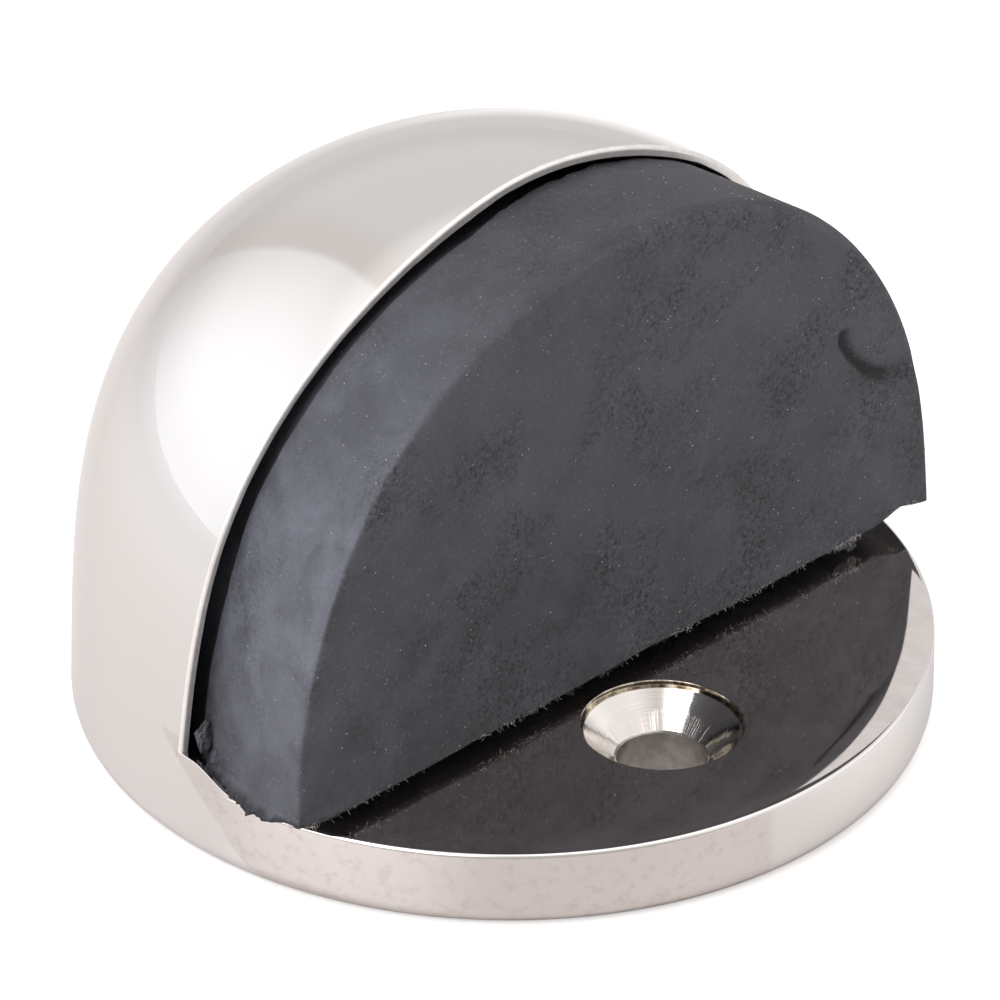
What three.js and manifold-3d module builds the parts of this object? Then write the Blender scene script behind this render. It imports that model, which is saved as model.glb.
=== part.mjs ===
// Half-dome floor door stop: a one-piece polished casting with a screw flange,
// and a rubber buffer whose plug fills the hollow of the dome.
// Millimetres, +Z up. The origin is the centre of the base on the floor, and the buffer faces -Y.

import * as THREE from 'three';
import { mergeVertices } from 'three/addons/utils/BufferGeometryUtils.js';
import Module from 'manifold-3d';

// Casting, outside
const BASE_RADIUS = 22.5;
const FOOT_RADIUS = 21.8; // where the rounded foot meets the floor
const BELLY_HEIGHT = 1.0; // height of the widest circle
const DOME_HEIGHT = 31.9;
const SIDE_POWER = 3.55; // how upright the dome's side stays
const CROWN_POWER = 1.57; // how flat its crown is
const CROWN_SOFTENING = 0.15; // share of the radius over which the crown is blunted
const FLANGE_HEIGHT = 4.4;

// The plane that cuts the dome open, at the flange, and its forward lean for each mm of height
const RIM_SETBACK = 1.26;
const RIM_LEAN = 0.08;

// Casting, inside
const LIP = 0.45; // wall thickness at the rim
const WALL = 2.0; // wall thickness deep inside
const MOUTH_DEPTH = 4.0; // distance over which the lip thickens into the wall

// Screw hole, for a No. 8 countersunk screw
const HOLE_X = -1.3;
const HOLE_Y = -12.9;
const SINK_RADIUS = 4.25;
const SINK_LIP = 0.35;
const SHANK_RADIUS = 2.35;

// Rubber buffer
const FACE_Y = -8.35;
const FACE = { halfWidth: 23.6, height: 31.35, crown: 2.05, side: 2.8 };
const NECK = { halfWidth: 20.8, height: 30.65, crown: 2.0, side: 3.7 }; // outline at the rim
const FACE_EDGE = 0.6; // rounding of the front edge
const NECK_OVERLAP = 0.6; // how far the flared block runs in behind the rim
const FLANGE_GAP = 0.42; // clearance under the buffer
const PLUG_GAP_RIM = 0.9; // clearance of the plug at the rim
const PLUG_GAP_DEEP = 0.35; // and where it is seated

// Facets
const TURN_SEGMENTS = 72;
const PROFILE_STEPS = 20;
const OUTLINE_STEPS = 48;

const nickelMaterial = () =>
  new THREE.MeshStandardMaterial({ color: 0xd6ccc7, roughness: 0.06, metalness: 1.0 });
const rubberMaterial = () =>
  new THREE.MeshStandardMaterial({ color: 0x45464b, roughness: 0.75, metalness: 0.0 });

const wasm = await Module();
wasm.setup();

// --- Solids from geometries -------------------------------------------------

function toSolid(geometry) {
  const bare = geometry.clone();
  bare.deleteAttribute('normal');
  bare.deleteAttribute('uv');
  const merged = mergeVertices(bare, 1e-4);
  return new wasm.Manifold(
    new wasm.Mesh({
      numProp: 3,
      vertProperties: new Float32Array(merged.attributes.position.array),
      triVerts: new Uint32Array(merged.index.array),
    }),
  );
}

function toMesh(name, solid, material) {
  const result = solid.getMesh();
  const geometry = new THREE.BufferGeometry();
  geometry.setAttribute('position', new THREE.BufferAttribute(result.vertProperties, 3));
  geometry.setIndex(new THREE.BufferAttribute(result.triVerts, 1));
  geometry.computeVertexNormals();
  const mesh = new THREE.Mesh(geometry, material);
  mesh.name = name;
  return mesh;
}

function movePoints(geometry, move) {
  const position = geometry.attributes.position;
  const point = new THREE.Vector3();
  for (let i = 0; i < position.count; i++) {
    point.fromBufferAttribute(position, i);
    move(point);
    position.setXYZ(i, point.x, point.y, point.z);
  }
  return geometry;
}

// A closed solid of revolution about Z from [radius, height] pairs that start and end on the axis
function turned(profile) {
  const points = profile.map(([radius, height]) => new THREE.Vector2(radius, height));
  const geometry = new THREE.LatheGeometry(points, TURN_SEGMENTS);
  geometry.rotateX(Math.PI / 2);
  return geometry;
}

// --- Dome shape ---------------------------------------------------------------

// Height of the dome's skin above a point at a share of the base radius from the axis
function crownHeight(share) {
  const rise = (s) => (s * s + CROWN_SOFTENING ** 2) ** (CROWN_POWER / 2);
  const drop = (rise(share) - rise(0)) / (rise(1) - rise(0));
  return BELLY_HEIGHT + (DOME_HEIGHT - BELLY_HEIGHT) * (1 - drop) ** (1 / SIDE_POWER);
}

// The skin from the widest circle to the top, as [radius, height] pairs
function domeSkin(steps) {
  const skin = [];
  for (let i = 0; i < steps; i++) {
    const share = Math.cos((i / steps) * (Math.PI / 2));
    skin.push([BASE_RADIUS * share, crownHeight(share)]);
  }
  skin.push([0, DOME_HEIGHT]);
  return skin;
}

function footCurve() {
  const foot = [];
  const steps = 5;
  for (let i = 0; i < steps; i++) {
    const angle = (i / steps) * (Math.PI / 2);
    const radius = FOOT_RADIUS + (BASE_RADIUS - FOOT_RADIUS) * Math.sin(angle);
    foot.push([radius, BELLY_HEIGHT * (1 - Math.cos(angle))]);
  }
  return foot;
}

const rimPlaneY = (height) => RIM_SETBACK - RIM_LEAN * (height - FLANGE_HEIGHT);

// A wedge-sided block that holds everything behind the rim plane, or everything in front of it
const BEHIND = 1;
const IN_FRONT = -1;
function rimSide(direction, shift) {
  const reach = 2 * BASE_RADIUS;
  const bottom = -BASE_RADIUS;
  const side = new THREE.Shape();
  side.moveTo(rimPlaneY(bottom) + shift, bottom);
  side.lineTo(direction * reach, bottom);
  side.lineTo(direction * reach, reach);
  side.lineTo(rimPlaneY(reach) + shift, reach);
  side.closePath();
  const geometry = new THREE.ExtrudeGeometry(side, { depth: 2 * reach, bevelEnabled: false });
  geometry.translate(0, 0, -reach);
  // the outline's x and y become the object's Y and Z, and its depth runs along X
  return toSolid(movePoints(geometry, (p) => p.set(p.z, p.x, p.y)));
}

// Everything above a height
function above(height) {
  const reach = 4 * BASE_RADIUS;
  const block = new THREE.BoxGeometry(reach, reach, reach);
  block.translate(0, 0, height + reach / 2);
  return toSolid(block);
}

// The dome's skin moved inwards by a distance that depends on how deep behind the rim a point is.
// The skin's slope is taken over a small share of the base radius.
const SLOPE_STEP = 0.01;
function insetDome(insetAtDepth) {
  const geometry = turned([[0, BELLY_HEIGHT], ...domeSkin(PROFILE_STEPS)]);
  const normal = new THREE.Vector3();
  movePoints(geometry, (p) => {
    const inset = insetAtDepth(p.y - rimPlaneY(p.z));
    const share = Math.min(Math.hypot(p.x, p.y) / BASE_RADIUS, 1);
    const inner = Math.max(share - SLOPE_STEP, 0);
    const slope = (crownHeight(inner) - crownHeight(share)) / (SLOPE_STEP * BASE_RADIUS);
    normal.set(p.x, p.y, 0).normalize().multiplyScalar(slope).setZ(1).normalize();
    p.addScaledVector(normal, -inset);
  });
  return toSolid(geometry);
}

const mouthBlend = (depth) => THREE.MathUtils.smoothstep(depth, 0, MOUTH_DEPTH);
const wallAtDepth = (depth) => THREE.MathUtils.lerp(LIP, WALL, mouthBlend(depth));
const plugInsetAtDepth = (depth) =>
  wallAtDepth(depth) + THREE.MathUtils.lerp(PLUG_GAP_RIM, PLUG_GAP_DEEP, mouthBlend(depth));

// --- Stop body ----------------------------------------------------------------

// A lipped 90 degree countersink over a clearance hole
function screwHoleCutter() {
  const lipBottom = FLANGE_HEIGHT - SINK_LIP;
  const coneBottom = lipBottom - (SINK_RADIUS - SHANK_RADIUS);
  const geometry = turned([
    [0, -1],
    [SHANK_RADIUS, -1],
    [SHANK_RADIUS, coneBottom],
    [SINK_RADIUS, lipBottom],
    [SINK_RADIUS, FLANGE_HEIGHT + 1],
    [0, FLANGE_HEIGHT + 1],
  ]);
  geometry.translate(HOLE_X, HOLE_Y, 0);
  return toSolid(geometry);
}

function stopBody() {
  const dome = toSolid(turned([[0, 0], ...footCurve(), ...domeSkin(PROFILE_STEPS)]));
  const hollow = insetDome(wallAtDepth).add(rimSide(IN_FRONT, 0));
  const body = dome.subtract(hollow.intersect(above(FLANGE_HEIGHT))).subtract(screwHoleCutter());
  return toMesh('stop_body', body, nickelMaterial());
}

// --- Rubber buffer --------------------------------------------------------------

// A point of a D outline: the angle runs from one foot of the D over its top to the other foot
function outlinePoint(outline, angle, inset) {
  const bottom = FLANGE_HEIGHT + FLANGE_GAP;
  const height = outline.height - inset;
  const z = bottom + (height - bottom) * Math.sin(angle);
  const share = (z / height) ** outline.side;
  const half = (outline.halfWidth - inset) * Math.max(1 - share, 0) ** (1 / outline.crown);
  return { x: Math.cos(angle) < 0 ? -half : half, z };
}

// The block in front of the dome, which widens from the rim to a rounded front edge
function bufferBlock() {
  const edgeSteps = 4;
  const half = new THREE.Shape();
  half.absarc(0, 0, 1, 0, Math.PI, false);
  half.closePath();
  const geometry = new THREE.ExtrudeGeometry(half, {
    depth: edgeSteps + 1,
    steps: edgeSteps + 1,
    curveSegments: OUTLINE_STEPS,
    bevelEnabled: false,
  });
  movePoints(geometry, (p) => {
    const step = Math.round(p.z);
    const turn = (Math.min(step, edgeSteps) / edgeSteps) * (Math.PI / 2);
    const angle = Math.atan2(Math.max(p.y, 0), -p.x);
    const atNeck = step > edgeSteps;
    const inset = atNeck ? 0 : FACE_EDGE * (1 - Math.sin(turn));
    const { x, z } = outlinePoint(atNeck ? NECK : FACE, angle, inset);
    const y = atNeck ? rimPlaneY(z) + NECK_OVERLAP : FACE_Y + FACE_EDGE * (1 - Math.cos(turn));
    p.set(x, y, z);
  });
  return toSolid(geometry);
}

function rubberBuffer() {
  const plug = insetDome(plugInsetAtDepth)
    .intersect(rimSide(BEHIND, -NECK_OVERLAP))
    .intersect(above(FLANGE_HEIGHT + PLUG_GAP_DEEP));
  return toMesh('rubber_buffer', bufferBlock().add(plug), rubberMaterial());
}

const group = new THREE.Group();
group.add(stopBody(), rubberBuffer());
export default group;
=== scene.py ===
import math

import bpy
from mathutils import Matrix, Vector, noise
from mathutils.geometry import tessellate_polygon


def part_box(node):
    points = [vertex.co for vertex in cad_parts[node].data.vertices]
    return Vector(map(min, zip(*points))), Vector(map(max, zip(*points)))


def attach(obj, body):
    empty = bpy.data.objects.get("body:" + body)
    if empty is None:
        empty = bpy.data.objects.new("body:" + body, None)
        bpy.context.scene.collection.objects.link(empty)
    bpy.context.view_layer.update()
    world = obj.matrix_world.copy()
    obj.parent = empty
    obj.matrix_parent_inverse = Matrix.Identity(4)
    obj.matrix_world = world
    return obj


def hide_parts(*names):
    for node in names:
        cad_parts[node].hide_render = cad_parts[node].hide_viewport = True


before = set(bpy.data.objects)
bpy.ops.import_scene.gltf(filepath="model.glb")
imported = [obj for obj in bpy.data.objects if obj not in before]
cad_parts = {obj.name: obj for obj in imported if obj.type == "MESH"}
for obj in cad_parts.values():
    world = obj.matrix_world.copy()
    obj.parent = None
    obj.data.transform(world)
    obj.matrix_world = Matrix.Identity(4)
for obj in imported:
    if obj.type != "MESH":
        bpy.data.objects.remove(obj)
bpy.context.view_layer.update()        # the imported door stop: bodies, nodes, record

mm = 0.001
bodyLow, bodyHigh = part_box("stop_body")
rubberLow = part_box("rubber_buffer")[0]


# camera: a long lens, turned to the left front and looking down
studio = {
    "azimuth": -45.64, "elevation": 32.47, "roll": 0.86,  # degrees
    "distance": 1.5, "lens": 1039.0,
    "aimRight": -0.00026, "aimHeight": 0.01171,
    "floorSize": 3.0, "floorGap": 0.00002,
}


def direction(azimuth, elevation):
    # azimuth 0 is in front of the buffer, 90 is at its right hand
    a, e = math.radians(azimuth), math.radians(elevation)
    return Vector((math.sin(a) * math.cos(e), -math.cos(a) * math.cos(e), math.sin(e)))


def makeCamera():
    back = direction(studio["azimuth"], studio["elevation"])
    roll = math.radians(studio["roll"])
    level = direction(studio["azimuth"] + 90, 0)
    upright = back.cross(level)
    right = level * math.cos(roll) + upright * math.sin(roll)
    up = upright * math.cos(roll) - level * math.sin(roll)
    aim = level * studio["aimRight"] + Vector((0, 0, studio["aimHeight"]))

    data = bpy.data.cameras.new("productCamera")
    data.lens = studio["lens"]
    data.sensor_width = 36
    data.clip_start = 0.1
    data.clip_end = 20
    camera = bpy.data.objects.new("productCamera", data)
    place = camera.matrix_world.copy()
    columns = (right, up, back, aim + back * studio["distance"])
    for row in range(3):
        for column in range(4):
            place[row][column] = columns[column][row]
    camera.matrix_world = place
    bpy.context.collection.objects.link(camera)
    bpy.context.scene.camera = camera


makeCamera()
print("camera placed")


# node helpers: a value may be a number, a colour or another node's output
def setInputs(tree, node, values):
    for key, value in values.items():
        socket = node.inputs[key]
        if isinstance(value, bpy.types.NodeSocket):
            tree.links.new(value, socket)
        elif socket.type == "RGBA":
            socket.default_value = (*value, 1)
        else:
            socket.default_value = value


def addNode(tree, kind, settings=None, values=None):
    node = tree.nodes.new(kind)
    for key, value in (settings or {}).items():
        setattr(node, key, value)
    setInputs(tree, node, values or {})
    return node


def newMaterial(name):
    material = bpy.data.materials.new(name)
    material.use_nodes = True
    tree = material.node_tree
    tree.nodes.clear()
    shader = addNode(tree, "ShaderNodeBsdfPrincipled")
    addNode(tree, "ShaderNodeOutputMaterial", values={"Surface": shader.outputs["BSDF"]})
    coords = addNode(tree, "ShaderNodeTexCoord").outputs["Object"]
    return material, shader, tree, coords


def addNoise(tree, vector, scale, detail=3.0, roughness=0.55, distortion=0.0):
    return addNode(tree, "ShaderNodeTexNoise", values={
        "Vector": vector, "Scale": scale, "Detail": detail, "Roughness": roughness,
        "Distortion": distortion}).outputs["Fac"]


def mapRange(tree, value, fromLow, fromHigh, toLow=0, toHigh=1, smooth=False):
    kind = "SMOOTHSTEP" if smooth else "LINEAR"
    return addNode(tree, "ShaderNodeMapRange", {"interpolation_type": kind}, {
        "Value": value, "From Min": fromLow, "From Max": fromHigh,
        "To Min": toLow, "To Max": toHigh}).outputs["Result"]


def mixColours(tree, factor, first, second, blend="MIX"):
    settings = {"data_type": "RGBA", "blend_type": blend}
    return addNode(tree, "ShaderNodeMix", settings, {0: factor, 6: first, 7: second}).outputs[2]


def maths(tree, operation, first, second=0.0):
    return addNode(tree, "ShaderNodeMath", {"operation": operation}, {0: first, 1: second}).outputs[0]


def times(tree, first, second):
    return maths(tree, "MULTIPLY", first, second)


def bumps(tree, height, strength, distance):
    return addNode(tree, "ShaderNodeBump", values={
        "Height": height, "Strength": strength, "Distance": distance}).outputs["Normal"]


def splitVector(tree, vector):
    return addNode(tree, "ShaderNodeSeparateXYZ", values={0: vector}).outputs


def surfaceNormal(tree):
    return splitVector(tree, addNode(tree, "ShaderNodeNewGeometry").outputs["Normal"])


# a white tent, brighter overhead, with one big panel shining in from behind on the left
light = {
    "front": (0.60, 0.595, 0.59), "back": (0.78, 0.77, 0.77),
    "horizon": 0.10, "seam": (0.03, 0.06, 0.08),
    "panelAt": (-138, 14), "panelInner": 16, "panelOuter": 62, "panel": (0.50, 0.52, 0.54),
    "panelEdge": ((164, 4), (174, 38)), "panelEdgeSoft": 0.035,
    "hoodFrom": 46, "hoodTo": 57, "hood": (0.24, 0.22, 0.20),
    "zenithAt": (0, 90), "zenithOuter": 34, "zenithInner": 10, "zenith": (0.5, 0.5, 0.5),
    "fillAt": (48, 40), "fillOuter": 52, "fillInner": 18, "fill": (0.46, 0.44, 0.43),
    "keyAt": (-90, 42), "keyOuter": 34, "keyInner": 8, "key": (2.9, 2.9, 2.95),
    # floor colours: near, a paler side colour that is a painted pool of light on the right front, which the
    # flange's wall reflects, and far
    "floorNear": (0.65, 0.625, 0.615), "floorPaintedLight": (0.80, 0.79, 0.785),
    "floorFar": (0.52, 0.51, 0.51), "floorSeen": 0.45,
}


def towards(tree, coords, vector):
    # how far a direction or a place points along a vector
    return addNode(tree, "ShaderNodeVectorMath", {"operation": "DOT_PRODUCT"},
                   {0: coords, 1: vector}).outputs["Value"]


def makeRoom():
    world = bpy.data.worlds.new("softRoom")
    bpy.context.scene.world = world
    world.use_nodes = True
    tree = world.node_tree
    tree.nodes.clear()
    coords = addNode(tree, "ShaderNodeTexCoord").outputs["Generated"]
    black = (0, 0, 0)

    def patch(name):
        # a round soft patch of light, 1 inside and 0 outside
        facing = towards(tree, coords, direction(*light[name + "At"]))
        outer, inner = (math.cos(math.radians(light[name + end])) for end in ("Outer", "Inner"))
        return mapRange(tree, facing, outer, inner, smooth=True)

    def added(total, mask, colour):
        return mixColours(tree, 1.0, total, mixColours(tree, mask, black, colour), "ADD")

    behind = mapRange(tree, towards(tree, coords, Vector((0.5, 0.87, 0))), -0.25, 0.35, smooth=True)
    total = mixColours(tree, behind, light["front"], light["back"])
    height = towards(tree, coords, Vector((0, 0, 1)))
    low = mapRange(tree, height, 0.04, 0.30, 1 - light["horizon"], 1, smooth=True)
    total = mixColours(tree, 1.0, total, low, "MULTIPLY")

    # the panel ends in a straight edge, with a darker seam beside it
    lower, upper = (direction(*at) for at in light["panelEdge"])
    across = towards(tree, coords, upper.cross(lower).normalized())
    panelEdge = mapRange(tree, across, 0, light["panelEdgeSoft"], smooth=True)
    total = added(total, times(tree, patch("panel"), panelEdge), light["panel"])
    seam = times(tree, mapRange(tree, across, -0.16, -0.02, smooth=True),
                 maths(tree, "SUBTRACT", 1.0, panelEdge))
    total = mixColours(tree, 1.0, total, mixColours(tree, seam, black, light["seam"]), "SUBTRACT")

    hoodFrom, hoodTo = (math.sin(math.radians(light[end])) for end in ("hoodFrom", "hoodTo"))
    total = added(total, mapRange(tree, height, hoodFrom, hoodTo, smooth=True), light["hood"])
    for name in ("zenith", "fill", "key"):
        total = added(total, patch(name), light[name])
    background = addNode(tree, "ShaderNodeBackground", values={"Color": total, "Strength": 1.0})
    addNode(tree, "ShaderNodeOutputWorld", values={"Surface": background.outputs[0]})


def makeFloor():
    half = studio["floorSize"] / 2
    mesh = bpy.data.meshes.new("paleFloor")
    corners = [(-half, -half, 0), (half, -half, 0), (half, half, 0), (-half, half, 0)]
    mesh.from_pydata(corners, [], [(0, 1, 2, 3)])
    floor = bpy.data.objects.new("paleFloor", mesh)
    floor.location.z = bodyLow.z - studio["floorGap"]
    bpy.context.collection.objects.link(floor)

    material, shader, tree, coords = newMaterial("paleFloor")
    distance = addNode(tree, "ShaderNodeVectorMath", {"operation": "LENGTH"}, {0: coords})
    far = mapRange(tree, distance.outputs["Value"], 0.06, 0.2, smooth=True)
    # painted light: the floor is paler on its right-front side, a painted pool of light for the flange's
    # wall to reflect
    towardsPaintedLight = towards(tree, coords, direction(60, 0))
    side = mapRange(tree, towardsPaintedLight, 0.012, 0.024, smooth=True)
    close = mixColours(tree, side, light["floorNear"], light["floorPaintedLight"])
    # the floor is seen a little brighter than it shines on the metal, as on a lit white table
    seen = addNode(tree, "ShaderNodeLightPath").outputs["Is Camera Ray"]
    setInputs(tree, shader, {
        "Base Color": mixColours(tree, far, close, light["floorFar"]),
        "Roughness": 0.18, "Specular IOR Level": 0.7,
        "Emission Color": (1, 1, 1), "Emission Strength": times(tree, seen, light["floorSeen"])})
    mesh.materials.append(material)


makeRoom()
makeFloor()
bpy.context.scene.view_settings.view_transform = "Standard"
print("studio lit")


# meshes with exact surface normals
def meshFromCorners(name, faces, materials):
    # faces holds (material number, [(point, normal), ...]) with points in millimetres
    lookup = {}
    points, polygons, slots, normals = [], [], [], []
    for slot, corners in faces:
        polygon, facing = [], []
        for point, normal in corners:
            key = (round(point[0], 4), round(point[1], 4), round(point[2], 4))
            if key not in lookup:
                lookup[key] = len(points)
                points.append(Vector(point) * mm)
            if lookup[key] not in polygon:
                polygon.append(lookup[key])
                facing.append(normal)
        if len(polygon) > 2:
            polygons.append(polygon)
            slots.append(slot)
            normals.extend(facing)
    mesh = bpy.data.meshes.new(name)
    mesh.from_pydata(points, [], polygons)
    mesh.polygons.foreach_set("use_smooth", [True] * len(polygons))
    mesh.polygons.foreach_set("material_index", slots)
    mesh.normals_split_custom_set([tuple(Vector(n).normalized()) for n in normals])
    for material in materials:
        mesh.materials.append(material)
    piece = bpy.data.objects.new(name, mesh)
    bpy.context.collection.objects.link(piece)
    return piece


def gridFaces(rows, slot=0, flip=False):
    # quads between rows of (point, normal) pairs
    faces = []
    for first, second in zip(rows, rows[1:]):
        for i in range(len(first) - 1):
            corners = [first[i], second[i], second[i + 1], first[i + 1]]
            faces.append((slot, corners[::-1] if flip else corners))
    return faces


def flatFaces(outer, hole, normal, slot=0):
    # a flat face with a round hole in it
    loops = [[Vector(p) for p in outer], [Vector(p) for p in hole]]
    flat = loops[0] + loops[1]
    faces = []
    for a, b, c in tessellate_polygon(loops):
        turn = (flat[b] - flat[a]).cross(flat[c] - flat[a]).dot(Vector(normal))
        order = (a, b, c) if turn > 0 else (a, c, b)
        faces.append((slot, [(flat[i], normal) for i in order]))
    return faces


def blendCurve(start, corner, end, steps, startNormal, endNormal):
    # a rounded corner from start to end as (point, normal) pairs
    curve = []
    for i in range(steps + 1):
        t = i / steps
        point = start * (1 - t) ** 2 + corner * 2 * t * (1 - t) + end * t ** 2
        curve.append((point, (startNormal * (1 - t) + endNormal * t).normalized()))
    return curve


def smoothStep(low, high, value):
    t = min(max((value - low) / (high - low), 0), 1)
    return t * t * (3 - 2 * t)


# stop body: the polished casting, in millimetres
casting = {
    "radius": bodyHigh.x / mm, "height": bodyHigh.z / mm,
    "footInset": 0.7, "belly": 1.0,
    "sidePower": 3.55, "crownPower": 1.57, "crownSoftening": 0.15,
    "flange": 4.4, "flangeEdge": 0.24,
    "rimSetback": 1.26, "rimLean": 0.08,
    "lip": 0.62, "wall": 2.0, "mouthDepth": 4.0,
    "rimRounding": 0.24, "lipRounding": 0.06,
    "rollOff": 1.9, "rollDrop": 0.10, "web": 1.2, "webReach": 4.2, "webWidth": 0.42,
    "columns": 180, "slices": 80, "frontSteps": 200, "holeSteps": 96,
}
screwHole = {
    "at": (-1.3, -12.9), "sink": 4.25, "lip": 0.36, "shank": 2.35,
    "edge": 0.07, "burr": 0.12,
}


def crownRise(share):
    soft = casting["crownSoftening"]
    return (share * share + soft * soft) ** (casting["crownPower"] / 2)


crownStart = crownRise(0)
crownSpan = crownRise(1) - crownStart


def skinRadius(z):
    # radius of the dome at a height
    climb = (z - casting["belly"]) / (casting["height"] - casting["belly"])
    if climb >= 1:
        return 0.0
    drop = 1 - max(climb, 0) ** casting["sidePower"]
    rise = drop * crownSpan + crownStart
    share = math.sqrt(max(rise ** (2 / casting["crownPower"]) - casting["crownSoftening"] ** 2, 0))
    return casting["radius"] * share


def skinNormal(point):
    distance = math.hypot(point[0], point[1])
    if distance < 1e-6:
        return Vector((0, 0, 1))
    share = min(distance / casting["radius"], 1)
    soft = casting["crownSoftening"]
    power = casting["crownPower"]
    drop = (crownRise(share) - crownStart) / crownSpan
    steepening = power * share * (share * share + soft * soft) ** (power / 2 - 1) / crownSpan
    side = casting["sidePower"]
    slope = (casting["height"] - casting["belly"]) / side * max(1 - drop, 1e-7) ** (1 / side - 1)
    slope *= steepening / casting["radius"]
    return Vector((slope * point[0] / distance, slope * point[1] / distance, 1)).normalized()


def rimY(z):
    return casting["rimSetback"] - casting["rimLean"] * (z - casting["flange"])


def slicePoint(angle, depth):
    # where a ray in a plane behind the rim plane meets the dome; angle 0 is the right foot
    across, up = math.cos(angle), math.sin(angle)
    low, high = 0.0, casting["radius"] * 1.6
    for _ in range(44):
        middle = (low + high) / 2
        z = casting["flange"] + middle * up
        radius = skinRadius(z) if z < casting["height"] else 0.0
        if math.hypot(middle * across, rimY(z) + depth) < radius:
            low = middle
        else:
            high = middle
    z = casting["flange"] + low * up
    return Vector((low * across, rimY(z) + depth, z))


def lipWidth(angle, z):
    # the rim is thinner at its feet, and the fettled casting leaves it uneven near the top
    width = casting["lip"]
    width -= 0.08 + 0.10 * smoothStep(12, 18, z) * (1 - smoothStep(27, 30, z))
    ragged = noise.noise(Vector((math.degrees(angle) * 0.35, 2.0, 0)))
    width += 0.03 * ragged
    onLeft = math.degrees(angle)
    swell = smoothStep(93, 98, onLeft) * (1 - smoothStep(104, 108, onLeft))
    width += 0.10 * swell + 0.10 * swell * noise.noise(Vector((onLeft * 2.1, 7.0, 0)))
    width += 0.08 * smoothStep(80, 60, onLeft) * smoothStep(30, 50, onLeft)
    return width


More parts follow.
